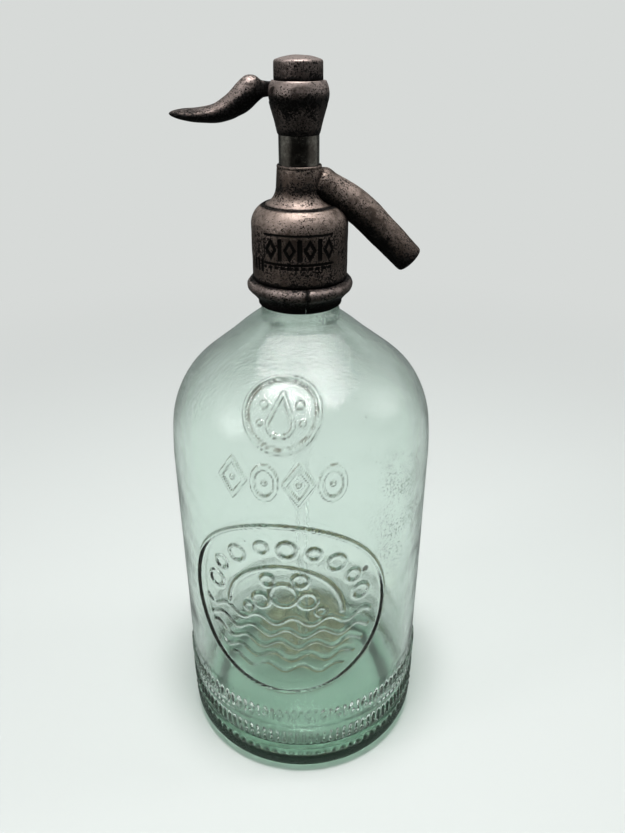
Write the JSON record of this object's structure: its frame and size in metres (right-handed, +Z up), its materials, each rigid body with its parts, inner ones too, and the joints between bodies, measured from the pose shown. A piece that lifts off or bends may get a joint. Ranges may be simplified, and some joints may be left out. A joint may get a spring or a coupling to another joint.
{
  "type": "soda siphon",
  "caption": "Glass soda siphon with a cast head, a sprung side lever that lifts an inner valve, and a bent spout on a split neck collar.",
  "frame": {"origin": "centre of the ring that the bottle stands on", "axes": "+Z up along the bottle's axis, +X towards the spout, -X towards the lever"},
  "size_m": [0.112, 0.112, 0.2999],
  "materials": {
    "bottle_glass": "pressed soda-lime glass, pale green, worn",
    "tube_glass": "drawn clear glass",
    "pewter": "cast pewter, aged and pitted",
    "plated_brass": "turned brass, worn nickel plate",
    "valve_brass": "turned brass",
    "rubber": "matte",
    "fibre": "pressed fibre",
    "spring_steel": "drawn wire"
  },
  "bodies": {
    "siphon": {"glass_bottle": "bottle_glass", "collar_half_left": "pewter", "collar_half_right": "pewter", "neck_washer": "rubber", "siphon_head": "pewter", "spout": "pewter", "valve_seat": "valve_brass", "tube_seal": "rubber", "dip_tube": "tube_glass", "barrel_washer": "fibre", "valve_barrel": "plated_brass", "guide_bush": "valve_brass", "lever_housing": "pewter", "top_cap": "plated_brass", "cap_gasket": "fibre", "lever_pin": "spring_steel", "valve_spring": "spring_steel"},
    "lever_arm": {"lever": "pewter"},
    "valve": {"valve_rod": "valve_brass", "lifting_eye": "valve_brass", "piston_seal": "rubber", "valve_washer": "rubber", "washer_nut": "valve_brass"}
  },
  "joints": [
    {"name": "lever_press", "type": "hinge", "parent": "siphon", "child": "lever_arm", "pos_m": [-0.0085, 0, 0.28914], "axis": [0, -1, 0], "range_deg": [0, 15], "stiffness_Nm_per_rad": 0.087, "springref_deg": -53.86},
    {"name": "valve_rise", "type": "slide", "parent": "siphon", "child": "valve", "axis": [0, 0, 1], "range_m": [0, 0.00222], "deforming": ["valve_spring"]}
  ],
  "couplings": [
    {"joint": "lever_press", "follows": "valve_rise", "rad_per_m": 117.65}
  ]
}
